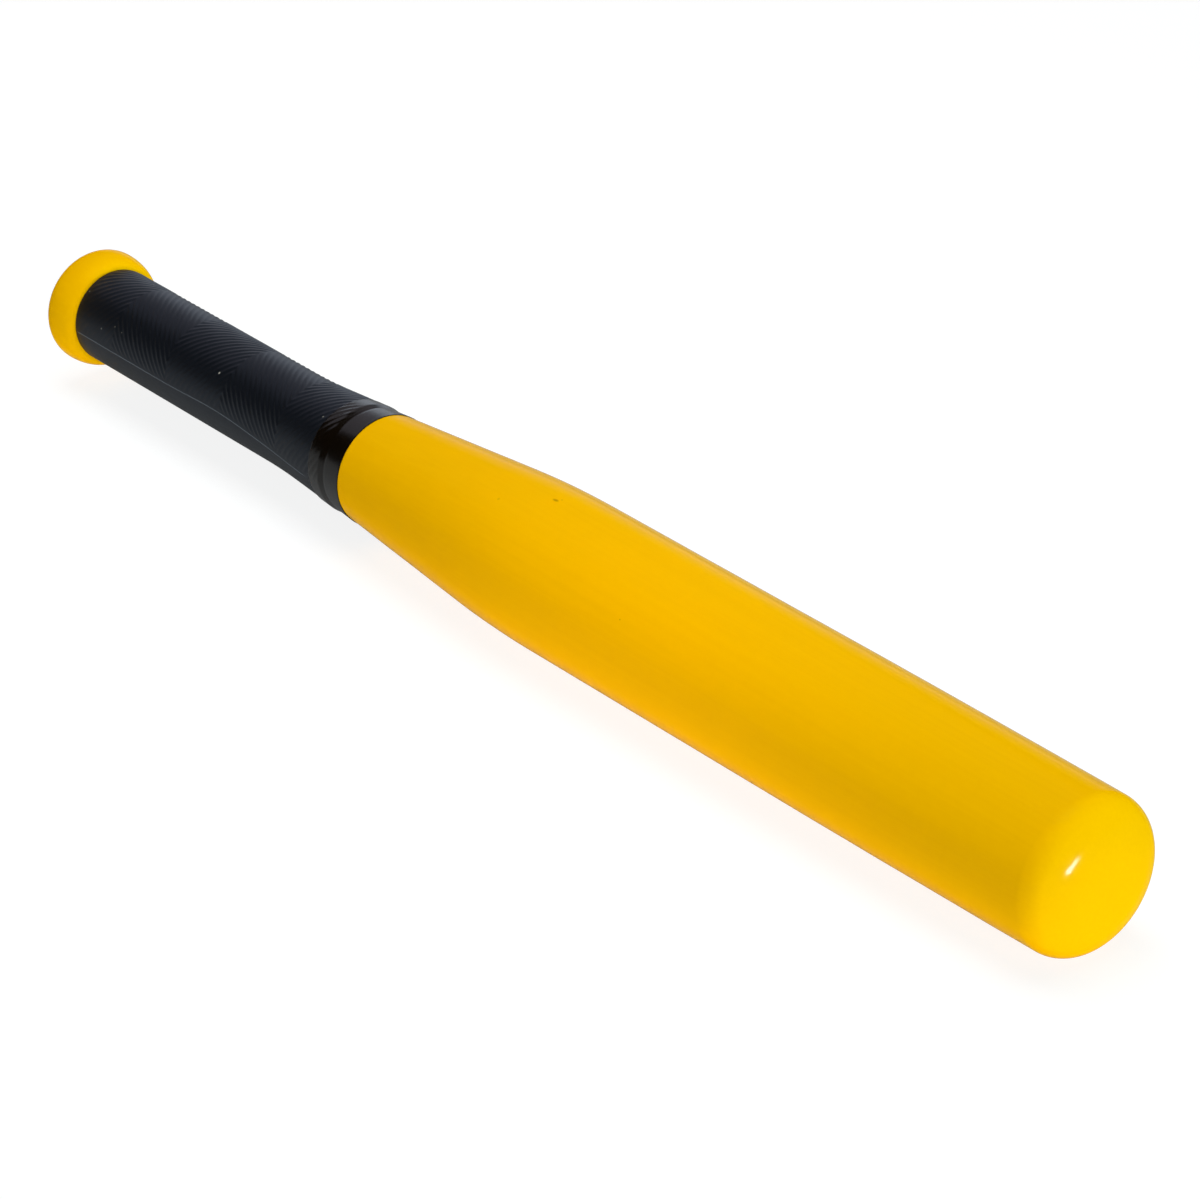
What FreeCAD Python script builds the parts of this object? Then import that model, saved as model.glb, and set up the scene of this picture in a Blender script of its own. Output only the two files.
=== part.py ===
import FreeCAD, Part
import math
import os

# A rounders bat: one turned and lacquered wooden blank with a knob on its end,
# a moulded rubber grip pulled over the handle, and a band of tape that seals
# the mouth of the grip. Millimetres, +Z up.
# The bat lies on its barrel with its axis along X, the barrel end at +X and the
# knob at -X. The origin is on the surface, under the middle of the length.
# An outline point is (distance from the barrel end, distance from the axis).

# Wooden blank
bat_length = 460.0
barrel_radius = 23.0
end_flat_radius = 6.0
end_crown_radius = 28.0
end_edge_radius = 7.0
taper_start = 215.3
taper_slope = 0.0833
shoulder_arc_radius = 385.0
neck_arc_radius = 400.0
handle_radius = 13.5
knob_front = 444.0
knob_widest = 452.5
knob_radius = 18.2
knob_edge_radius = 5.0

# Rubber grip: its wall is thinnest at the mouth, where it is stretched most
grip_mouth = 310.9
grip_mouth_wall = 0.5
grip_slope = 0.07
grip_arc_radius = 260.0
grip_radius = 14.8

# Tape band, laid partly on the wood and partly on the grip
tape_thickness = 0.25
tape_on_wood = 8.3
tape_on_grip = 7.2
tape_step_run = 0.9


def place(point):
    along, radius = point
    return FreeCAD.Vector(bat_length / 2 - along, 0, barrel_radius + radius)


def line(start, end):
    return Part.makeLine(place(start), place(end))


def arc(start, between, end):
    return Part.Arc(place(start), place(between), place(end)).toShape()


def run(points):
    return [line(start, end) for start, end in zip(points, points[1:])]


def arc_about(centre, radius, first_angle, last_angle):
    """Edge and end points of an arc, angles from the knob's direction outwards."""
    points = []
    for angle in (first_angle, (first_angle + last_angle) / 2, last_angle):
        along = centre[0] + radius * math.cos(angle)
        out = centre[1] + radius * math.sin(angle)
        points.append((along, out))
    return arc(*points), points[0], points[2]


def fillet_of_slopes(corner, slope_in, slope_out, radius):
    """Start, middle and end of the arc that rounds a corner between two straight runs.

    A slope is the fall of the radius for each millimetre towards the knob.
    """
    angle_in = -math.atan(slope_in)
    angle_out = -math.atan(slope_out)
    half_turn = (angle_out - angle_in) / 2
    tangent = radius * math.tan(abs(half_turn))
    rise = radius * (1 / math.cos(half_turn) - 1)
    normal = (angle_in + angle_out) / 2 + math.copysign(math.pi / 2, half_turn)
    start = (corner[0] - tangent * math.cos(angle_in), corner[1] - tangent * math.sin(angle_in))
    middle = (corner[0] + rise * math.cos(normal), corner[1] + rise * math.sin(normal))
    end = (corner[0] + tangent * math.cos(angle_out), corner[1] + tangent * math.sin(angle_out))
    return start, middle, end


def turn(edges):
    """Solid of revolution of a closed outline about the bat's axis."""
    outline = Part.Wire(Part.sortEdges(edges)[0])
    axis_point = FreeCAD.Vector(0, 0, barrel_radius)
    return Part.Face(outline).revolve(axis_point, FreeCAD.Vector(1, 0, 0), 360)


# Corners where the straight runs of the taper would meet, before rounding
shoulder_corner = taper_start + shoulder_arc_radius * math.tan(math.atan(taper_slope) / 2)
neck_corner = shoulder_corner + (barrel_radius - handle_radius) / taper_slope


def wood_radius(along):
    return barrel_radius - taper_slope * (along - shoulder_corner)


mouth_radius = wood_radius(grip_mouth) + grip_mouth_wall
grip_corner = grip_mouth + (mouth_radius - grip_radius) / grip_slope


def cone_grip_radius(along):
    return mouth_radius - grip_slope * (along - grip_mouth)


def barrel_end():
    """Flat spot, shallow crown and rounded edge, out to the side of the barrel."""
    crown_centre = (end_crown_radius, end_flat_radius)
    edge_ring = barrel_radius - end_edge_radius
    reach = end_crown_radius - end_edge_radius
    lean = math.asin((edge_ring - end_flat_radius) / reach)
    edge_centre = (end_crown_radius - reach * math.cos(lean), edge_ring)
    crown, flat_rim, _ = arc_about(crown_centre, end_crown_radius, math.pi, math.pi - lean)
    edge, _, side = arc_about(edge_centre, end_edge_radius, math.pi - lean, math.pi / 2)
    return [line((0, 0), flat_rim), crown, edge], side


def handle_bore():
    """Neck arc and straight handle, shared by the wood and the inside of the grip."""
    neck = fillet_of_slopes((neck_corner, handle_radius), taper_slope, 0, neck_arc_radius)
    return [arc(*neck), line(neck[2], (knob_front, handle_radius))], neck[0]


def knob():
    """Knob from its foot to its tip: an oval front slope, a rounded edge and a domed back."""
    quarter_pull = 0.5523
    lip = (knob_front, grip_radius)
    lip_pull = (knob_front, grip_radius + quarter_pull * (knob_radius - grip_radius))
    rim_pull = (knob_widest - quarter_pull * (knob_widest - knob_front), knob_radius)
    slope = Part.BezierCurve()
    slope.setPoles([place(point) for point in (lip, lip_pull, rim_pull, (knob_widest, knob_radius))])

    depth = bat_length - knob_widest
    edge_ring = knob_radius - knob_edge_radius
    dome_radius = (depth ** 2 + edge_ring ** 2 - knob_edge_radius ** 2) / (2 * (depth - knob_edge_radius))
    dome_lean = math.asin(edge_ring / (dome_radius - knob_edge_radius))
    edge, _, _ = arc_about((knob_widest, edge_ring), knob_edge_radius, math.pi / 2, dome_lean)
    dome, _, _ = arc_about((bat_length - dome_radius, 0), dome_radius, dome_lean, 0)
    return [line((knob_front, handle_radius), lip), slope.toShape(), edge, dome]


def turned_bat():
    """Barrel, taper, handle core and knob, turned in one piece."""
    end_edges, side = barrel_end()
    shoulder = fillet_of_slopes((shoulder_corner, barrel_radius), 0, taper_slope, shoulder_arc_radius)
    handle_edges, neck_start = handle_bore()
    body = [line(side, shoulder[0]), arc(*shoulder), line(shoulder[2], neck_start)]
    return turn(end_edges + body + handle_edges + knob() + [line((bat_length, 0), (0, 0))])


def rubber_grip():
    """Moulded sleeve from its thin mouth on the taper to the front of the knob."""
    handle_edges, neck_start = handle_bore()
    throat = fillet_of_slopes((grip_corner, grip_radius), grip_slope, 0, grip_arc_radius)
    inner_mouth = (grip_mouth, wood_radius(grip_mouth))
    outer_mouth = (grip_mouth, mouth_radius)
    outer = [line(outer_mouth, throat[0]), arc(*throat), line(throat[2], (knob_front, grip_radius))]
    ends = [line(inner_mouth, outer_mouth), line((knob_front, handle_radius), (knob_front, grip_radius))]
    return turn([line(inner_mouth, neck_start)] + handle_edges + outer + ends)


def grip_tape():
    """Band that runs from the wood up over the grip's mouth, thin all the way."""
    wood_edge = grip_mouth - tape_on_wood
    grip_edge = grip_mouth + tape_on_grip
    step_foot = grip_mouth - tape_step_run
    inner = [(wood_edge, wood_radius(wood_edge)), (grip_mouth, wood_radius(grip_mouth)),
             (grip_mouth, mouth_radius), (grip_edge, cone_grip_radius(grip_edge))]
    outer = [(wood_edge, wood_radius(wood_edge) + tape_thickness),
             (step_foot, wood_radius(step_foot) + tape_thickness),
             (grip_mouth, mouth_radius + tape_thickness),
             (grip_edge, cone_grip_radius(grip_edge) + tape_thickness)]
    return turn(run(inner + outer[::-1] + inner[:1]))


os.makedirs("parts", exist_ok=True)
pieces = {"turned_bat": turned_bat(), "rubber_grip": rubber_grip(), "grip_tape": grip_tape()}
for name, shape in pieces.items():
    shape.exportStep("parts/" + name + ".step")
    box = shape.BoundBox
    print(name, shape.ShapeType, shape.isValid(), round(shape.Volume), "mm3",
          [round(value, 2) for value in (box.XMin, box.YMin, box.ZMin, box.XMax, box.YMax, box.ZMax)])
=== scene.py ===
import math

import bpy
import numpy as np
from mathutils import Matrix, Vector


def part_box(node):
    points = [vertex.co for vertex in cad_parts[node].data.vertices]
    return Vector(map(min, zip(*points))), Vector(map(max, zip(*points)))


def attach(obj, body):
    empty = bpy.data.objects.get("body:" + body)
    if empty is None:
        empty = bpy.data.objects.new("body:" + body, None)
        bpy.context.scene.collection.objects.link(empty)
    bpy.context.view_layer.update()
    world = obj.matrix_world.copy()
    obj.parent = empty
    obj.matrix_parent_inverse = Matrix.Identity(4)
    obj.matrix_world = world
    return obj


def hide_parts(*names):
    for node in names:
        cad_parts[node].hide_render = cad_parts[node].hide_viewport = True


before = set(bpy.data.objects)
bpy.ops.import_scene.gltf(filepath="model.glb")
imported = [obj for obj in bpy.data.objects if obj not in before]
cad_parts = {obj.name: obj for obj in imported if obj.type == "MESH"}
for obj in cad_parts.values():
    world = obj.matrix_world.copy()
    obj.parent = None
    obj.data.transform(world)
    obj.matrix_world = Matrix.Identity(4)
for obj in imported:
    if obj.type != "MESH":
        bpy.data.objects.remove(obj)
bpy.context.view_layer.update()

# Lengths are in millimetres until a mesh is written. A point of an outline is
# (distance from the barrel end, distance from the bat's axis). An angle round
# the bat starts at +Y and grows towards +Z, so 90 is its top and 180 faces -Y.
mm = 0.001
batLow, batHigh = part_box("turned_bat")
batLength = (batHigh.x - batLow.x) / mm
barrelRadius = (batHigh.z - batLow.z) / 2 / mm
endX = batHigh.x / mm
axisZ = (batHigh.z + batLow.z) / 2 / mm
print("frame: bat", round(batLength, 2), "mm long, barrel radius", round(barrelRadius, 2))


# Surfaces

def smoothStep(low, high, value):
    # 0 below low, 1 above high, and an even S-curve between them
    t = np.clip((value - low) / (high - low), 0.0, 1.0)
    return t * t * (3.0 - 2.0 * t)


def arcPoints(centre, radius, firstAngle, lastAngle, count):
    # a circle's arc: centre plus radius times (cosine, sine) of evenly spaced angles
    angle = np.linspace(firstAngle, lastAngle, count)
    return np.column_stack([centre[0] + radius * np.cos(angle), centre[1] + radius * np.sin(angle)])


def withPatch(values, centre, halfWidth, count):
    # the same rising values, with an even and closer set of them round the centre
    away = np.abs(values - centre) > 1.1 * halfWidth
    return np.unique(np.concatenate([values[away], centre + halfWidth * np.linspace(-1, 1, count)]))


def turnedPoints(along, radius, angle):
    # a point of a turned surface: x falls with the distance from the barrel end,
    # y and z are the radius times (cosine, sine) of the angle round the axis
    x = np.broadcast_to(endX - along, radius.shape)
    return np.stack([x, radius * np.cos(angle), axisZ + radius * np.sin(angle)], axis=-1)


def gridMesh(name, points, closedProfile, attributes=None):
    # a grid of rows along the outline and columns round the axis, closed round the axis;
    # an outline that isn't a loop has its first and last row drawn into poles
    rows, columns = points.shape[:2]
    here = np.arange(columns)
    beside = (here + 1) % columns
    if closedProfile:
        vertices = points.reshape(-1, 3)
        top = np.arange(rows)[:, None] * columns
        below = ((np.arange(rows) + 1) % rows)[:, None] * columns
        fans = np.zeros((0, 3), int)
        keep = slice(None)
    else:
        vertices = np.concatenate([points[1:-1].reshape(-1, 3), points[:1, 0], points[-1:, 0]])
        top = np.arange(rows - 3)[:, None] * columns
        below = top + columns
        firstPole = (rows - 2) * columns
        lastRow = (rows - 3) * columns
        firstFan = np.column_stack([np.full(columns, firstPole), here, beside])
        lastFan = np.column_stack([lastRow + here, np.full(columns, firstPole + 1), lastRow + beside])
        fans = np.concatenate([firstFan, lastFan])
        keep = slice(1, -1)
    quads = np.stack([top + here, below + here, below + beside, top + beside], axis=-1).reshape(-1, 4)
    loops = np.concatenate([quads.ravel(), fans.ravel()])
    starts = np.concatenate([np.arange(len(quads)) * 4, len(quads) * 4 + np.arange(len(fans)) * 3])
    mesh = bpy.data.meshes.new(name)
    mesh.vertices.add(len(vertices))
    mesh.vertices.foreach_set("co", (vertices * mm).astype(np.float32).ravel())
    mesh.loops.add(len(loops))
    mesh.loops.foreach_set("vertex_index", loops.astype(np.int32))
    mesh.polygons.add(len(starts))
    mesh.polygons.foreach_set("loop_start", starts.astype(np.int32))
    mesh.update(calc_edges=True)
    mesh.validate()
    mesh.polygons.foreach_set("use_smooth", np.ones(len(mesh.polygons), bool))
    for label, values in (attributes or {}).items():
        inner = values[keep].ravel()
        if not closedProfile:
            inner = np.concatenate([inner, values[0, :1], values[-1, :1]])
        layer = mesh.attributes.new(label, "FLOAT", "POINT")
        layer.data.foreach_set("value", inner.astype(np.float32))
    piece = bpy.data.objects.new(name, mesh)
    bpy.context.scene.collection.objects.link(piece)
    print("mesh:", name, len(mesh.vertices), "vertices,", 2 * len(quads) + len(fans), "triangles")
    return piece


# Nodes

def addNode(tree, kind, inputs=None, **settings):
    # adds one node; an input is a value, or another node's output to link from
    node = tree.nodes.new(kind)
    for setting, value in settings.items():
        setattr(node, setting, value)
    for socket, value in (inputs or {}).items():
        if isinstance(value, bpy.types.NodeSocket):
            tree.links.new(value, node.inputs[socket])
        else:
            node.inputs[socket].default_value = value
    return node


def linearColor(hexCode):
    # sRGB hex to linear light, each channel by the standard's two-part curve
    parts = [int(hexCode[i:i + 2], 16) / 255 for i in (1, 3, 5)]
    return tuple(c / 12.92 if c <= 0.04045 else ((c + 0.055) / 1.055) ** 2.4 for c in parts) + (1.0,)


def newMaterial(name, **sockets):
    # the values go on the shader's own sockets, with _ for a space in a socket's name
    material = bpy.data.materials.new(name)
    material.use_nodes = True
    tree = material.node_tree
    shader = tree.nodes["Principled BSDF"]
    for socket, value in sockets.items():
        shader.inputs[socket.replace("_", " ")].default_value = value
    print("material:", name)
    return material, tree, shader


def addSpots(tree, place, outline, spots):
    # a mask with a few small round spots on a turned surface, each of them (distance,
    # angle, radius, strength), with a soft edge over its outer half
    mask = None
    for along, angle, size, strength in spots:
        turn = math.radians(angle)
        radius = float(outline(np.array(along)))
        centre = ((endX - along) * mm, radius * math.cos(turn) * mm, (axisZ + radius * math.sin(turn)) * mm)
        away = addNode(tree, "ShaderNodeVectorMath", {0: place, 1: centre}, operation="DISTANCE")
        edge = {"From Min": size * mm / 2, "From Max": size * mm, "To Min": strength, "To Max": 0.0}
        spot = addNode(tree, "ShaderNodeMapRange", {"Value": away.outputs["Value"], **edge}).outputs[0]
        if mask:
            spot = addNode(tree, "ShaderNodeMath", {0: mask, 1: spot}, operation="MAXIMUM").outputs[0]
        mask = spot
    return mask


# Turned wooden blank

blank = {
    "endFlatRadius": 6.0,
    "endCrownRadius": 28.0,
    "endEdgeRadius": 7.0,
    "taperStart": 215.3,
    "taperSlope": 0.0833,           # fall of the radius for each millimetre along
    "shoulderArc": 385.0,
    "neckArc": 400.0,
    "handleRadius": 13.5,
    "knobFront": 444.0,
    "knobWidest": 452.5,
    "knobRadius": 18.2,
    "knobEdgeRadius": 5.0,
    "endEase": 0.024,               # share of the radius that the barrel has lost at its end,
    "endEaseRun": 100.0,            # growing over this length
    "columns": 232,
    "rowStep": 1.9,
    "waveHeight": 0.018,            # unevenness of the thick lacquer
    "waveFadeIn": (12.0, 24.0),     # the ends have no waves
    "waveFadeOut": (296.0, 302.0),
    "pits": [(219.8, 94.5, 2.6, 1.3, 1.0), (218.7, 91.2, 1.0, 0.9, 0.6)],  # as dents() reads them
    "pitDepth": 0.08,
    "patchHalfLength": 3.64,        # the mesh is finer round the first pit: millimetres along
    "patchHalfAngle": 4.5,          # and degrees round
    "specks": [(234.8, 117.0, 0.6, 0.22), (169.1, 148.0, 0.28, 0.5)],      # as addSpots() reads them
    "grainLength": 111.1,
    "grainWidth": 1.111,
    "yellow": ("#f8b500", "#fab800"),   # beside and on the grain
    "stain": "#a06800",
}


def woodRadius(along):
    # straight barrel, arc, even cone, arc, straight handle, all tangent to each other
    slope = blank["taperSlope"]
    lean = math.atan(slope)
    corner = blank["taperStart"] + blank["shoulderArc"] * math.tan(lean / 2)
    shoulderEnd = blank["taperStart"] + blank["shoulderArc"] * math.sin(lean)
    neckCorner = corner + (barrelRadius - blank["handleRadius"]) / slope
    neckEnd = neckCorner + blank["neckArc"] * math.tan(lean / 2)
    neckStart = neckEnd - blank["neckArc"] * math.sin(lean)
    onShoulder = np.clip(along - blank["taperStart"], 0.0, shoulderEnd - blank["taperStart"])
    shoulder = barrelRadius - blank["shoulderArc"] + np.sqrt(blank["shoulderArc"] ** 2 - onShoulder ** 2)
    cone = barrelRadius - slope * (along - corner)
    onNeck = np.clip(neckEnd - along, 0.0, neckEnd - neckStart)
    neck = blank["handleRadius"] + blank["neckArc"] - np.sqrt(blank["neckArc"] ** 2 - onNeck ** 2)
    radius = np.where(along < shoulderEnd, shoulder, cone)
    return np.where(along > neckStart, neck, radius)


def barrelEndOutline():
    # flat spot, shallow crown and rounded edge
    flat = blank["endFlatRadius"]
    crown = blank["endCrownRadius"]
    edge = blank["endEdgeRadius"]
    ring = barrelRadius - edge
    lean = math.asin((ring - flat) / (crown - edge))
    edgeCentre = (crown - (crown - edge) * math.cos(lean), ring)
    return np.concatenate([
        np.column_stack([np.zeros(6), np.linspace(0, flat, 6)]),
        arcPoints((crown, flat), crown, math.pi, math.pi - lean, 14)[1:],
        arcPoints(edgeCentre, edge, math.pi - lean, math.pi / 2, 22)[1:],
    ])


def knobOutline():
    # foot under the sleeve's end, quarter oval to the widest ring, rounded edge, domed back
    front, widest = blank["knobFront"], blank["knobWidest"]
    knob, edge, foot = blank["knobRadius"], blank["knobEdgeRadius"], sleeve["radius"]
    depth = batLength - widest
    ring = knob - edge
    dome = (depth ** 2 + ring ** 2 - edge ** 2) / (2 * (depth - edge))
    lean = math.asin(ring / (dome - edge))
    turn = np.linspace(0, math.pi / 2, 26)
    oval = np.column_stack([widest - (widest - front) * np.cos(turn), foot + (knob - foot) * np.sin(turn)])
    return np.concatenate([
        np.column_stack([np.full(3, front), np.linspace(blank["handleRadius"], foot, 4)[:3]]),
        oval,
        arcPoints((widest, ring), edge, math.pi / 2, lean, 16)[1:],
        arcPoints((batLength - dome, 0), dome, lean, 0, 22)[1:],
    ])


def lacquerWaves(along, angle):
    # two sets of slow waves, each a sine along the bat times a cosine round it
    slow = np.sin(along / 9.1 + 2.0 * np.sin(angle)) * np.cos(3 * angle + along / 31.0)
    quick = np.sin(along / 4.3 + 1.7 + np.cos(2 * angle)) * np.cos(5 * angle - along / 17.0)
    onSide = smoothStep(*blank["waveFadeIn"], along) * (1.0 - smoothStep(*blank["waveFadeOut"], along))
    return onSide * blank["waveHeight"] * (slow + 0.7 * quick)


def dents(along, radius, angle):
    # each pit is (distance, angle, length, width, strength): a bell-shaped dent whose
    # depth falls off with the square of the reach from its centre, and a soft rim round it
    pit = np.zeros_like(radius)
    rim = np.zeros_like(radius)
    for centre, turn, length, width, strength in blank["pits"]:
        across = radius * (angle - math.radians(turn))
        reach = ((along - centre) / (length / 2)) ** 2 + (across / (width / 2)) ** 2
        pit = np.maximum(pit, strength * np.exp(-reach * 1.3))
        rim = np.maximum(rim, 0.3 * strength * np.exp(-((np.sqrt(reach) - 1.25) / 0.35) ** 2))
    return pit, rim


def buildBlank():
    end = barrelEndOutline()
    pitAlong, pitAngle = blank["pits"][0][:2]
    side = np.arange(end[-1, 0] + blank["rowStep"], blank["knobFront"], blank["rowStep"])
    side = withPatch(side, pitAlong, blank["patchHalfLength"], 33)
    outline = np.concatenate([end, np.column_stack([side, woodRadius(side)]), knobOutline()])
    angle = np.radians(np.arange(blank["columns"]) * 360.0 / blank["columns"])
    angle = withPatch(angle, math.radians(pitAngle), math.radians(blank["patchHalfAngle"]), 25)
    along = outline[:, :1] + 0 * angle
    # the barrel narrows a little, faster and faster towards its end
    ease = blank["endEase"] * np.clip(1.0 - along / blank["endEaseRun"], 0.0, 1.0) ** 1.5
    radius = outline[:, 1:] * (1.0 - ease)
    pit, rim = dents(along, radius, angle)
    radius = radius + lacquerWaves(along, angle) - blank["pitDepth"] * (pit - rim)
    radius = np.minimum(radius, barrelRadius)
    piece = gridMesh("lacquered_bat", turnedPoints(along, radius, angle), False, {"pit": pit})
    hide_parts("turned_bat")
    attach(piece, "root")
    return piece


def lacqueredWood():
    # polyurethane lacquer, sprayed thick and yellow over turned hardwood: an even deep
    # colour under a wet gloss, with the grain only just telegraphing through
    material, tree, shader = newMaterial("lacqueredHardwood", Roughness=0.3, Specular_IOR_Level=0.0,
                                         Coat_Roughness=0.1, Coat_IOR=1.5)
    # the strong yellow drowns the gloss seen from the front, so it shows only at a slant
    slant = addNode(tree, "ShaderNodeLayerWeight", {"Blend": 0.5}).outputs["Facing"]
    rise = {"From Min": 0.62, "From Max": 1.0, "To Min": 0.03, "To Max": 0.8}
    gloss = addNode(tree, "ShaderNodeMapRange", {"Value": slant, **rise}, interpolation_type="SMOOTHSTEP")
    tree.links.new(gloss.outputs[0], shader.inputs["Coat Weight"])
    place = addNode(tree, "ShaderNodeTexCoord").outputs["Object"]
    scale = [1 / (blank[size] * mm) for size in ("grainLength", "grainWidth", "grainWidth")]
    lengthwise = addNode(tree, "ShaderNodeMapping", {"Vector": place, "Scale": scale}).outputs[0]
    streaks = {"Vector": lengthwise, "Scale": 1.0, "Detail": 3.0}
    grain = addNode(tree, "ShaderNodeTexNoise", streaks).outputs["Fac"]
    tone = addNode(tree, "ShaderNodeMapRange", {"Value": grain, "From Min": 0.3, "From Max": 0.7}).outputs[0]
    plain, grained = (linearColor(hexCode) for hexCode in blank["yellow"])
    yellow = addNode(tree, "ShaderNodeMix", {"Factor": tone, "A": plain, "B": grained}, data_type="RGBA")
    # dirt has settled in the dents, and the specks are under the lacquer
    pit = addNode(tree, "ShaderNodeAttribute", attribute_name="pit").outputs["Fac"]
    dirt = {"From Min": 0.2, "From Max": 0.75, "To Max": 0.62}
    dirty = addNode(tree, "ShaderNodeMapRange", {"Value": pit, **dirt}).outputs[0]
    specks = addSpots(tree, place, woodRadius, blank["specks"])
    marks = addNode(tree, "ShaderNodeMath", {0: dirty, 1: specks}, operation="MAXIMUM").outputs[0]
    stained = addNode(tree, "ShaderNodeMix", {"Factor": marks, "A": yellow.outputs["Result"],
                                              "B": linearColor(blank["stain"])}, data_type="RGBA")
    tree.links.new(stained.outputs["Result"], shader.inputs["Base Color"])
    bump = addNode(tree, "ShaderNodeBump", {"Height": grain, "Strength": 0.05, "Distance": 0.1 * mm})
    tree.links.new(bump.outputs[0], shader.inputs["Normal"])
    return material


# Moulded rubber sleeve

sleeve = {
    "mouth": 310.9,
    "mouthWall": 0.5,
    "slope": 0.07,
    "throatArc": 260.0,
    "radius": 14.8,
    "mouthThin": 0.36,              # the stretched lip is thinner still at its very edge,
    "mouthThinRun": 2.1,            # over this length
    "endRound": 0.35,               # rounding of the end at the knob: depth and length
    "endRoundRun": 0.3,
    "ridgeCount": 32,               # round the whole handle, if the ridges went all round
    "ridgeHeight": 0.18,
    "ridgeGroove": 0.4,             # share of the height that lies under the plain skin
    "ridgeSlope": 1.17,             # millimetres round for each millimetre along,
    "slopeRadius": 15.0,            # at this distance from the axis
    "peakFold": 423.6,              # where the chevrons point to the top of the bat
    "foldPeriod": 57.8,
    "ridgeAt": (394.7, 170.0),      # a ridge passes here, distance and angle
    "ridgeFade": (0.4, 2.4),        # distances from a parting line, where the ridges fade in
    "endFade": (0.6, 2.2),          # distances from the knob, the same
    "wear": 0.8,                    # share of the ridges that is worn off beside the knob
    "wearAlong": (419.0, 433.0),
    "wearAngle": (112.0, 140.0),
    "uneven": 0.16,                 # how much the ridges' height varies
    "partingAngle": 184.4,          # the mould's parting line on the camera's side
    "partingHeight": 0.12,
    "partingWidth": 0.18,
    "partingFade": (319.0, 324.0),
    "dust": [(370.6, 138.5, 0.45, 0.9), (429.0, 71.0, 0.35, 0.5), (320.3, 124.0, 0.36, 0.45),
             (430.0, 163.5, 0.35, 0.4), (423.7, 153.0, 0.3, 0.5), (419.8, 155.0, 0.25, 0.35),
             (442.6, 131.5, 0.3, 0.35)],
    "rowStep": 0.36,
    "ridgedColumns": 132,
    "plainColumns": 40,
    "black": "#13151a",
    "blackSheen": "#cfe3ff",
    # a lighter grey painted on the parting line's flash: a painted highlight where light catches it
    "flashHighlightGrey": "#5f6369",
    "dustGrey": "#b9b4a8",
    "skinGrain": 0.2222,            # the mould's blasted skin, coarser than real, to show
}


def sleeveRadius(along):
    # even cone from the mouth, an arc, then the straight handle
    mouthRadius = woodRadius(sleeve["mouth"]) + sleeve["mouthWall"]
    lean = math.atan(sleeve["slope"])
    corner = sleeve["mouth"] + (mouthRadius - sleeve["radius"]) / sleeve["slope"]
    throatEnd = corner + sleeve["throatArc"] * math.tan(lean / 2)
    throatStart = throatEnd - sleeve["throatArc"] * math.sin(lean)
    cone = mouthRadius - sleeve["slope"] * (along - sleeve["mouth"])
    onThroat = np.clip(throatEnd - along, 0.0, throatEnd - throatStart)
    throat = sleeve["radius"] + sleeve["throatArc"] - np.sqrt(sleeve["throatArc"] ** 2 - onThroat ** 2)
    return np.where(along < throatStart, cone, throat)


def sleeveSkin(along):
    # the sleeve's plain outside, with its lip thinned towards the mouth
    lip = 1.0 - smoothStep(sleeve["mouth"], sleeve["mouth"] + sleeve["mouthThinRun"], along)
    return sleeveRadius(along) - sleeve["mouthThin"] * lip


def chevrons(along, angle):
    # ridges that climb and fall round the handle in a zigzag with even folds, as one
    # height from 0 to 1: a rounded rib where the phase is whole, a flat between two
    half = sleeve["foldPeriod"] / 2
    fromPeak = np.abs((along - sleeve["peakFold"] + half) % sleeve["foldPeriod"] - half)
    ridgeAlong, ridgeAngle = sleeve["ridgeAt"]
    nearPeak = abs((ridgeAlong - sleeve["peakFold"] + half) % sleeve["foldPeriod"] - half)
    turn = sleeve["ridgeSlope"] / sleeve["slopeRadius"]
    phase = angle - math.radians(ridgeAngle) - turn * (fromPeak - nearPeak)
    phase = phase * sleeve["ridgeCount"] / (2 * math.pi)
    return (0.5 + 0.5 * np.cos(2 * math.pi * phase)) ** 1.6


def partingBend(along):
    # how far the mould's parting lines wander round the handle: a swing of 9.5 degrees
    # towards the mouth, where the sleeve was stretched, and a small bell-shaped one back
    swing = smoothStep(0, 1, (364.0 - along) / 42.0)
    return np.radians(9.5 * swing - 3.0 * np.exp(-((along - 371.0) / 15.0) ** 2))


def sleeveRelief(along, angle):
    # height over the plain sleeve: chevrons on the upper half, and the thin bell-shaped
    # flash that both parting lines leave
    back = math.radians(sleeve["partingAngle"]) - math.pi + partingBend(along)
    fromBack = (angle - back + 0.5) % (2 * math.pi) - 0.5
    inBack = fromBack * sleeve["radius"]
    inFront = (math.pi - fromBack) * sleeve["radius"]
    upper = smoothStep(*sleeve["ridgeFade"], inFront) * smoothStep(*sleeve["ridgeFade"], inBack)
    ends = smoothStep(*sleeve["endFade"], blank["knobFront"] - along)
    worn = smoothStep(*sleeve["wearAlong"], along)
    worn = sleeve["wear"] * worn * smoothStep(*sleeve["wearAngle"], np.degrees(angle) % 360.0)
    ripple = np.sin(along / 3.7 + 2.0 * np.sin(4.0 * angle)) * np.sin(7.0 * angle + along / 11.0)
    share = upper * ends * (1.0 - worn) * (1.0 - sleeve["uneven"] + sleeve["uneven"] * ripple)
    ridge = sleeve["ridgeHeight"] * (chevrons(along, angle) - sleeve["ridgeGroove"]) * share
    nearest = np.minimum(np.abs(inFront), np.abs(inBack))
    flash = np.exp(-(nearest / sleeve["partingWidth"]) ** 2) * ends
    flash = flash * smoothStep(*sleeve["partingFade"], along)
    return ridge + sleeve["partingHeight"] * flash, flash


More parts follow.
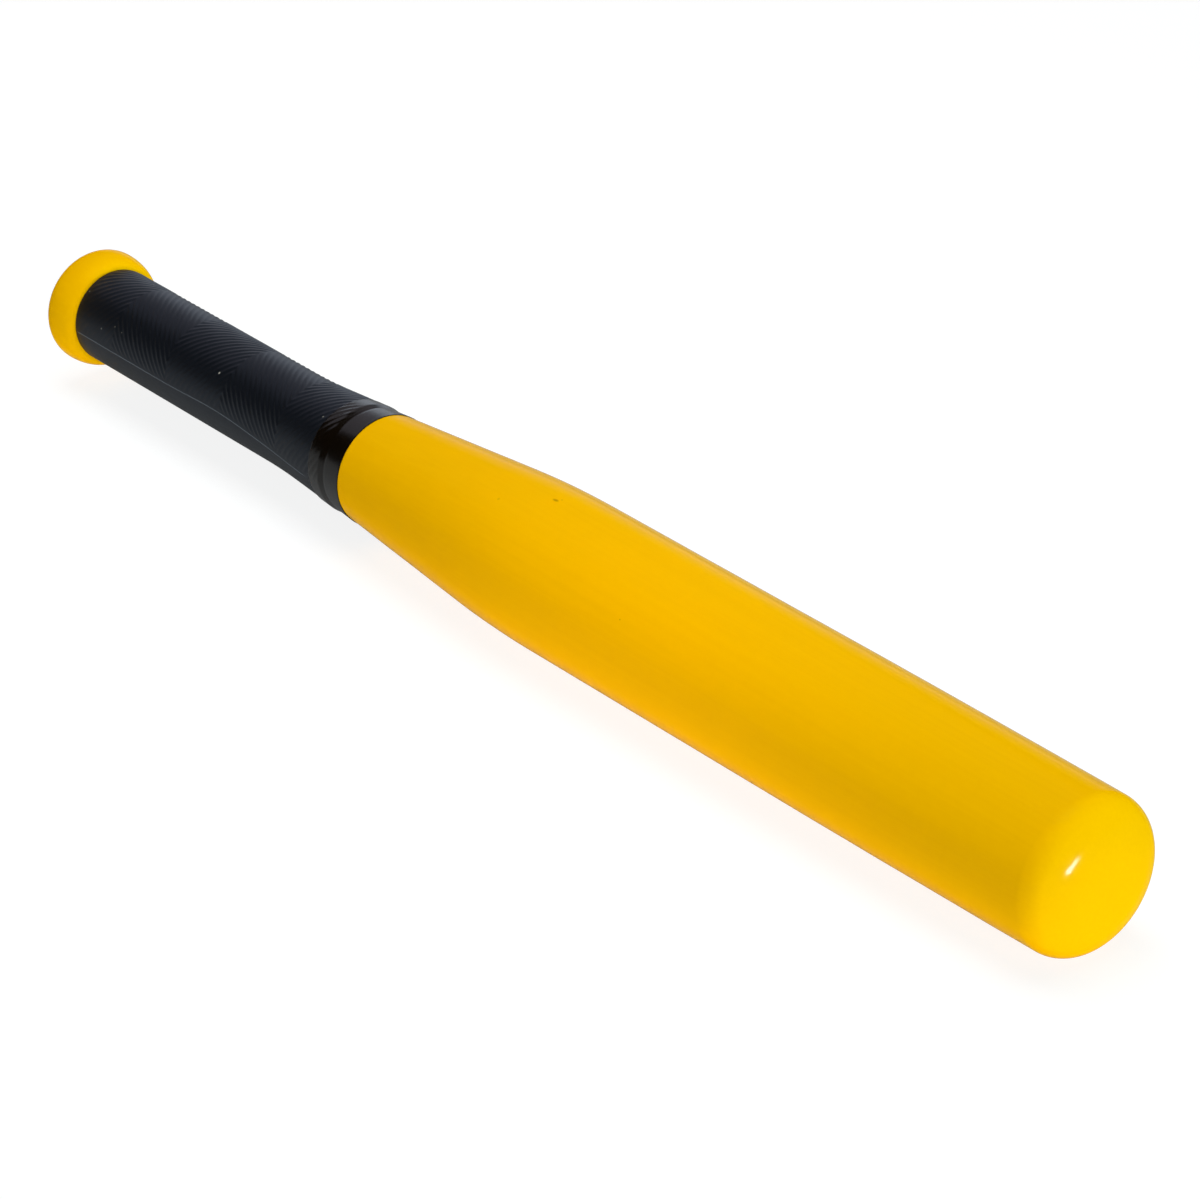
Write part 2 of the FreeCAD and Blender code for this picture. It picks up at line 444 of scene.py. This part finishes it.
def sleeveAngles():
    # columns close together on the ridged half and closest along the parting lines
    front = math.radians(sleeve["partingAngle"])
    beside = np.array([-0.6, -0.42, -0.3, -0.2, -0.1, 0.0, 0.1, 0.2, 0.3, 0.42, 0.6]) / sleeve["radius"]
    upper = np.linspace(front - math.pi + beside[-1], front + beside[0], sleeve["ridgedColumns"])
    lower = np.linspace(front + beside[-1], front + math.pi + beside[0], sleeve["plainColumns"])
    return np.concatenate([front - math.pi + beside[:-1], upper[:-1], front + beside[:-1], lower[:-1]])


def buildSleeve():
    mouth, front, roundRun = sleeve["mouth"], blank["knobFront"], sleeve["endRoundRun"]
    outer = np.arange(mouth + 0.3, front - 0.4, sleeve["rowStep"])
    outer = np.concatenate([[mouth], outer, front - roundRun * np.linspace(1, 0, 5)])
    inner = np.linspace(front, mouth, 24)
    along = np.concatenate([outer, inner])[:, None]
    angle = sleeveAngles() + partingBend(along)
    along = along + 0 * angle
    relief, flash = sleeveRelief(along, angle)
    # the end at the knob is rounded off as a quarter oval
    nearEnd = np.clip(1 - (front - along) / roundRun, 0, 1)
    rounding = sleeve["endRound"] * (1 - np.sqrt(1 - nearEnd ** 2))
    radius = sleeveSkin(along) + relief - rounding
    radius[len(outer):] = woodRadius(along[len(outer):])
    piece = gridMesh("rubber_sleeve", turnedPoints(along, radius, angle), True, {"flash": flash})
    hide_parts("rubber_grip")
    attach(piece, "root")
    return piece


def mouldedRubber():
    # natural rubber with carbon black, hot-moulded: matt, faintly blue-grey at a slant
    material, tree, shader = newMaterial("mouldedNaturalRubber", Roughness=0.42, IOR=1.52,
                                         Specular_Tint=linearColor(sleeve["blackSheen"]))
    place = addNode(tree, "ShaderNodeTexCoord").outputs["Object"]
    # the raised flash along the parting lines is painted a lighter grey, a painted highlight where light
    # catches the thin ridge
    flash = addNode(tree, "ShaderNodeAttribute", attribute_name="flash").outputs["Fac"]
    blackWithFlashHighlight = addNode(tree, "ShaderNodeMix", {"Factor": flash, "A": linearColor(sleeve["black"]),
                                           "B": linearColor(sleeve["flashHighlightGrey"])}, data_type="RGBA")
    dusty = addSpots(tree, place, sleeveRadius, sleeve["dust"])
    tone = addNode(tree, "ShaderNodeMix", {"Factor": dusty, "A": blackWithFlashHighlight.outputs["Result"],
                                           "B": linearColor(sleeve["dustGrey"])}, data_type="RGBA")
    tree.links.new(tone.outputs["Result"], shader.inputs["Base Color"])
    skin = addNode(tree, "ShaderNodeTexNoise", {"Vector": place, "Scale": 1 / (sleeve["skinGrain"] * mm),
                                                "Detail": 3.0}).outputs["Fac"]
    bump = addNode(tree, "ShaderNodeBump", {"Height": skin, "Strength": 0.25, "Distance": 0.06 * mm})
    tree.links.new(bump.outputs[0], shader.inputs["Normal"])
    return material


# Tape band

tape = {
    "onWood": 8.3,
    "onGrip": 7.2,
    "thickness": 0.25,
    "stepRun": 0.9,
    "creaseDepth": 0.075,           # where the tape dips in before it climbs the grip's mouth
    "creaseWidth": 0.55,
    "creaseAt": -0.4,               # from the mouth
    "lapAngle": 292.0,
    "lapStep": 0.11,
    "ridgeShare": 0.75,             # how much of the grip's ridges shows through the tape,
    "ridgeSides": (86.0, 106.0),    # fading in between these degrees from +Y
    "ridgeStart": (0.6, 2.6),       # and between these distances from the mouth
    "columns": 300,
    "rowStep": 0.22,
    "black": "#0f0904",
    "pullLength": 6.25,             # size of the slow unevenness of the pulled tape
}


def buildTape():
    angle = np.radians(tape["lapAngle"]) + np.linspace(0, 2 * math.pi, tape["columns"], endpoint=False)
    angle = np.concatenate([angle, [angle[0] + 2 * math.pi - 0.002]])
    mouth = sleeve["mouth"]
    woodEdge, gripEdge = mouth - tape["onWood"], mouth + tape["onGrip"]
    outer = np.arange(woodEdge, gripEdge + 0.01, tape["rowStep"])
    inner = np.linspace(outer[-1], woodEdge, 40)
    along = np.concatenate([outer, inner])[:, None] + 0 * angle
    # the ridges print through on the -Y side, where the tape is pulled down on them
    relief = sleeveRelief(along, angle)[0] * smoothStep(*tape["ridgeStart"], along - mouth)
    across = (np.degrees(angle) - 180.0) % 360.0 - 180.0
    through = relief * (tape["ridgeShare"] * smoothStep(*tape["ridgeSides"], np.abs(across)))
    overStep = smoothStep(mouth - tape["stepRun"], mouth + 0.3, along)
    under = woodRadius(along) * (1 - overStep) + sleeveSkin(np.maximum(along, mouth)) * overStep
    # wound twice as one spiral: the outer turn's end leaves a step along the lap
    share = (angle - angle[0]) / (2 * math.pi)
    wound = tape["thickness"] - tape["lapStep"] * (1 - share)
    fromCrease = along - mouth - tape["creaseAt"]
    crease = tape["creaseDepth"] * np.exp(-(fromCrease / tape["creaseWidth"]) ** 2)
    radius = under + wound + through - crease
    plain = np.where(along > mouth, sleeveSkin(along), woodRadius(along))
    radius[len(outer):] = plain[len(outer):]
    piece = gridMesh("tape_band", turnedPoints(along, radius, angle), True)
    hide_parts("grip_tape")
    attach(piece, "root")
    return piece


def gripTape():
    # plasticised PVC tape, calendered and pulled tight: black with an oily gloss
    material, tree, shader = newMaterial("calenderedPvcTape", Roughness=0.24, IOR=1.53,
                                         Base_Color=linearColor(tape["black"]))
    place = addNode(tree, "ShaderNodeTexCoord").outputs["Object"]
    pull = addNode(tree, "ShaderNodeTexNoise", {"Vector": place, "Scale": 1 / (tape["pullLength"] * mm),
                                                "Detail": 2.0}).outputs["Fac"]
    bump = addNode(tree, "ShaderNodeBump", {"Height": pull, "Strength": 0.12, "Distance": 0.5 * mm})
    tree.links.new(bump.outputs[0], shader.inputs["Normal"])
    return material


# Floor and surroundings

studio = {
    "floorReach": 7.0,              # metres from the middle to each side
    "floorSeen": (0.2, 0.2, 0.2, 1),    # the floor's colour for the camera, which keeps the shadow,
    "floorWhite": 0.86,                 # and the light that is added there, so that it comes out white
    "floorMatt": (0.8, 0.8, 0.8, 1),    # the floor's colour as it lights matt surfaces,
    "floorGlow": 0.46,                  # the even light that it adds there,
    "glowTint": "#faffff",
    "floorGloss": 0.156,                # and as glossy surfaces show it
    "ambient": 0.02,                # the dark room's own light on matt surfaces
    "ambientGloss": 0.0,            # and as glossy surfaces show it
}


def buildFloor():
    # what a ray sees of the floor depends on its kind: white for the camera, and a pale
    # light table for the bat's own surfaces
    reach = studio["floorReach"]
    mesh = bpy.data.meshes.new("floor")
    mesh.from_pydata([(-reach, -reach, 0), (reach, -reach, 0), (reach, reach, 0), (-reach, reach, 0)],
                     [], [(0, 1, 2, 3)])
    floor = bpy.data.objects.new("floor", mesh)
    bpy.context.scene.collection.objects.link(floor)
    material, tree, shader = newMaterial("paleFloor")
    tree.nodes.remove(shader)
    path = addNode(tree, "ShaderNodeLightPath").outputs
    matt = addNode(tree, "ShaderNodeBsdfDiffuse", {"Color": studio["floorMatt"]}).outputs[0]
    plain = addNode(tree, "ShaderNodeBsdfDiffuse", {"Color": studio["floorSeen"]}).outputs[0]
    body = addNode(tree, "ShaderNodeMixShader", {0: path["Is Diffuse Ray"], 1: plain, 2: matt})
    strength = addNode(tree, "ShaderNodeMath", {0: path["Is Camera Ray"], 1: path["Is Transmission Ray"]},
                       operation="ADD").outputs[0]
    strength = addNode(tree, "ShaderNodeMath", {0: strength, 1: studio["floorWhite"]},
                       operation="MULTIPLY").outputs[0]
    for kind, share in (("Is Glossy Ray", "floorGloss"), ("Is Diffuse Ray", "floorGlow")):
        strength = addNode(tree, "ShaderNodeMath", {0: path[kind], 1: studio[share], 2: strength},
                           operation="MULTIPLY_ADD").outputs[0]
    tint = addNode(tree, "ShaderNodeMix", {"Factor": path["Is Diffuse Ray"], "A": (1, 1, 1, 1),
                                           "B": linearColor(studio["glowTint"])}, data_type="RGBA")
    glow = addNode(tree, "ShaderNodeEmission", {"Color": tint.outputs["Result"], "Strength": strength})
    both = addNode(tree, "ShaderNodeAddShader", {0: body.outputs[0], 1: glow.outputs[0]})
    tree.links.new(both.outputs[0], tree.nodes["Material Output"].inputs["Surface"])
    mesh.materials.append(material)


def buildWorld():
    # white behind the floor for the camera, and a dark room for the bat
    world = bpy.data.worlds.new("studio")
    bpy.context.scene.world = world
    world.use_nodes = True
    tree = world.node_tree
    path = addNode(tree, "ShaderNodeLightPath").outputs
    seen = addNode(tree, "ShaderNodeMath", {0: path["Is Camera Ray"], 1: path["Is Transmission Ray"]},
                   operation="ADD").outputs[0]
    room = addNode(tree, "ShaderNodeMapRange", {"Value": path["Is Glossy Ray"], "To Min": studio["ambient"],
                                                "To Max": studio["ambientGloss"]}).outputs[0]
    strength = addNode(tree, "ShaderNodeMath", {0: seen, 1: room}, operation="MAXIMUM").outputs[0]
    background = tree.nodes["Background"]
    background.inputs["Color"].default_value = (1, 1, 1, 1)
    tree.links.new(strength, background.inputs["Strength"])


# Lights: place and aim in metres, size across and up, beam in degrees, watts, colour, and
# what sees them. The big lights for matt surfaces stay out of the gloss, which shows only
# the two boxes behind the bat and the small sparkle on the barrel's end.
lamps = {
    "backHigh": ((-1.5, 0.5, 1.25), (0, 0, 0.02), (2.0, 1.1), 180, 2.8, "#f6f1ff", "both"),
    "backLow": ((-1.5, 1.3, 0.36), (0, 0, 0.02), (1.6, 0.72), 180, 3.6, "#e8f1ff", "both"),
    "sparkle": ((0.45, 0.041, 0.008), (0.11, -0.099, 15.0), (0.014, 0.2), 180, 8.0, "#ffffff", "gloss"),
    "endKey": ((4.0, 2.2, 0.24), (0.23, 0, 0.02), (1.2, 0.6), 180, 74.0, "#c8ffff", "matt"),
    "sideKey": ((3.8, -1.25, 1.0), (0.1, 0, 0.02), (1.2, 1.2), 180, 72.0, "#f1ffff", "matt"),
    "barrelBeam": ((0.42, -0.75, 0.42), (0.06, 0, 0.025), (0.12, 0.12), 11, 0.0085, "#ffdcc2", "matt"),
    "overBarrel": ((0.25, 0.05, 0.7), (0.15, 0, 0.02), (0.4, 0.4), 180, 1.7, "#e8ffff", "matt"),
    "overGrip": ((-0.3, 0.0, 1.2), (-0.1, 0, 0.02), (0.8, 0.8), 180, 8.8, "#ffffff", "matt"),
}


def buildLights():
    # rectangular soft boxes that face their aim points
    for name, (place, aim, size, beam, watts, color, seenBy) in lamps.items():
        lamp = bpy.data.lights.new(name, "AREA")
        lamp.shape = "RECTANGLE"
        lamp.size, lamp.size_y = size
        lamp.spread = math.radians(beam)
        lamp.energy = watts
        lamp.color = linearColor(color)[:3]
        holder = bpy.data.objects.new(name, lamp)
        holder.location = place
        holder.rotation_euler = (Vector(aim) - Vector(place)).to_track_quat("-Z", "Y").to_euler()
        holder.visible_glossy = seenBy != "matt"
        holder.visible_diffuse = seenBy != "gloss"
        holder.visible_camera = False
        bpy.context.scene.collection.objects.link(holder)
    print("lights:", len(lamps))


view = {
    "azimuth": 51.74,               # degrees, from straight in front towards the barrel end
    "elevation": 27.182,
    "distance": 1.3766,             # metres from the aim point
    "aim": (0.0276, 0, 0.0216),
    "lens": 150.04,                 # millimetres, on a sensor 36 mm wide
    "sensor": 36.0,
}


def buildCamera():
    side, rise = math.radians(view["azimuth"]), math.radians(view["elevation"])
    back = Vector((math.sin(side) * math.cos(rise), -math.cos(side) * math.cos(rise), math.sin(rise)))
    camera = bpy.data.objects.new("camera", bpy.data.cameras.new("camera"))
    camera.data.sensor_width = view["sensor"]
    camera.data.lens = view["lens"]
    camera.location = Vector(view["aim"]) + back * view["distance"]
    camera.rotation_euler = (-back).to_track_quat("-Z", "Y").to_euler()
    bpy.context.scene.collection.objects.link(camera)
    bpy.context.scene.camera = camera
    print("camera: azimuth", view["azimuth"], "elevation", view["elevation"])


for build, finish in ((buildBlank, lacqueredWood), (buildSleeve, mouldedRubber), (buildTape, gripTape)):
    build().data.materials.append(finish())
buildFloor()
buildWorld()
buildLights()
buildCamera()
bpy.context.scene.view_settings.view_transform = "Standard"
print("scene: pieces, floor, light and camera are in place")
